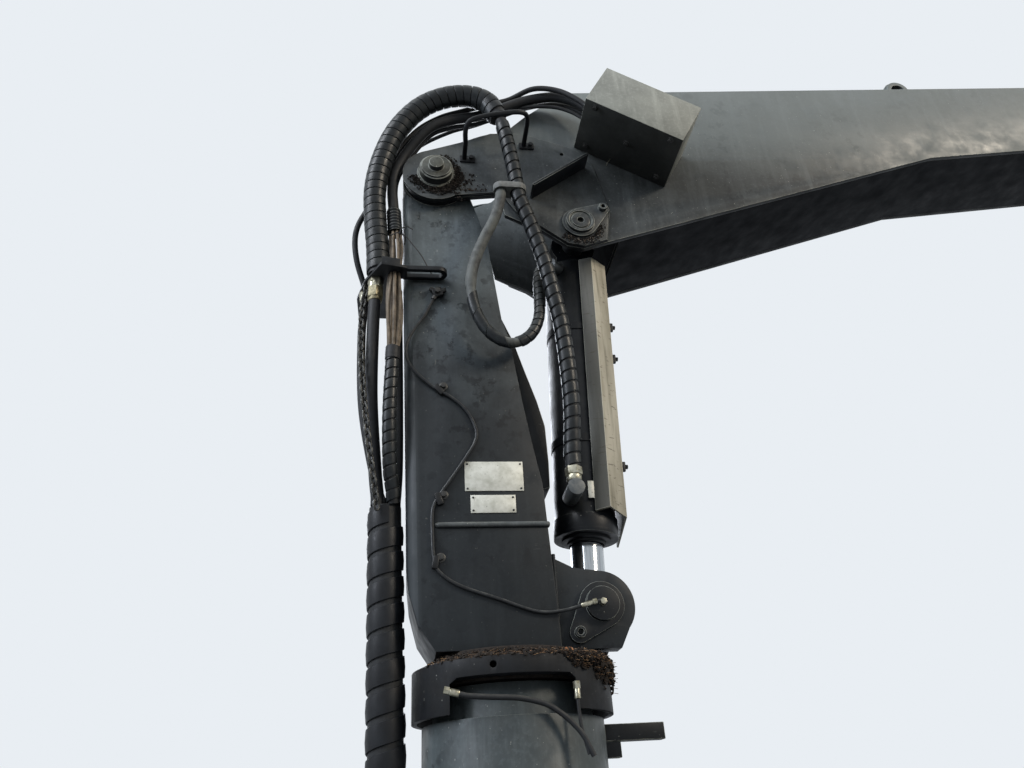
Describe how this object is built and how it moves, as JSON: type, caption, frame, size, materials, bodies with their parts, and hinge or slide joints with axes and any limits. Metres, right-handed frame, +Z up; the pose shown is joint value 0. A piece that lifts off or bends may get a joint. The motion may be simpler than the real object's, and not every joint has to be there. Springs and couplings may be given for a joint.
{
  "type": "forestry forwarder loader crane, pillar and main boom",
  "caption": "Slewing base, pillar, lift cylinder and main boom of a forwarder's loader crane, with its hoses; the boom lifts and the pillar slews.",
  "frame": {"origin": "slew axis at the mount face under the base flange", "axes": "+X out along the boom, +Z up the slew axis, -Y the side with the hoses"},
  "size_m": [3.8729, 0.6439, 2.4906],
  "materials": {
    "crane_paint": "charcoal satin enamel, dusty and scuffed",
    "pin_steel": "dull painted pin steel with grime",
    "hose_rubber": "black hydraulic hose cover",
    "guard_plastic": "black spiral guard, worn satin",
    "plate_aluminium": "weathered blank plate",
    "worn_guard": "dusty beige-grey folded guard, worn",
    "zinc_fitting": "zinc plated hose fittings",
    "rod_chrome": "hard chrome rod"
  },
  "bodies": {
    "base": {"base_housing": "crane_paint", "slew_cylinders_near": "crane_paint", "slew_cylinders_far": "crane_paint", "base_collar": "crane_paint", "hose_manifold": "crane_paint", "stop_bar": "crane_paint"},
    "pillar": {"pillar_column": "crane_paint", "pillar_head": "crane_paint", "pillar_foot": "crane_paint", "pillar_rib": "crane_paint", "pillar_lugs": "crane_paint", "lower_pin_keepers": "pin_steel", "hose_bracket": "crane_paint", "bracket_fittings": "zinc_fitting", "pillar_hoses": "hose_rubber", "hose_guard": "guard_plastic", "hose_chain": "zinc_fitting", "nameplates": "plate_aluminium", "lube_line": "hose_rubber"},
    "boom": {"boom_web_near": "crane_paint", "boom_web_far": "crane_paint", "boom_top_flange": "crane_paint", "boom_bottom_flange": "crane_paint", "boom_diaphragm": "crane_paint", "boom_tip": "crane_paint", "jib_cylinder_lugs": "crane_paint", "root_doubler_near": "crane_paint", "root_doubler_far": "crane_paint", "boom_pivot_pin": "pin_steel", "upper_pin": "pin_steel", "hose_guide": "crane_paint", "hose_clamp": "guard_plastic", "hose_cover": "crane_paint", "cover_bracket": "crane_paint", "boom_hoses": "hose_rubber", "arc_hose": "guard_plastic", "feed_hose": "guard_plastic", "loop_hose": "hose_rubber"},
    "barrel": {"lift_barrel": "crane_paint", "barrel_guard": "worn_guard", "port_elbow": "zinc_fitting"},
    "rod": {"lift_rod": "rod_chrome", "lower_pin": "pin_steel"}
  },
  "joints": [
    {"name": "slew", "type": "hinge", "parent": "base", "child": "pillar", "pos_m": [0, 0, 0.43], "axis": [0, 0, 1], "range_deg": [-190, 190], "deforming": ["hose_guard"]},
    {"name": "lift", "type": "hinge", "parent": "pillar", "child": "boom", "pos_m": [-0.163, 0, 1.798], "axis": [0, -1, 0], "range_deg": [-3, 70], "deforming": ["arc_hose", "boom_hoses", "feed_hose", "loop_hose"]},
    {"name": "barrel_swing", "type": "hinge", "parent": "boom", "child": "barrel", "pos_m": [0.239, 0, 1.633], "axis": [0, -1, 0], "range_deg": [-67, 3]},
    {"name": "rod_slide", "type": "slide", "parent": "barrel", "child": "rod", "axis": [-0.0419, 0, -0.9991], "range_m": [-0.0225, 0.505]}
  ],
  "couplings": [
    {"joint": "barrel_swing", "follows": "lift", "ratio": -0.945},
    {"joint": "rod_slide", "follows": "lift", "m_per_rad": 0.4125}
  ]
}
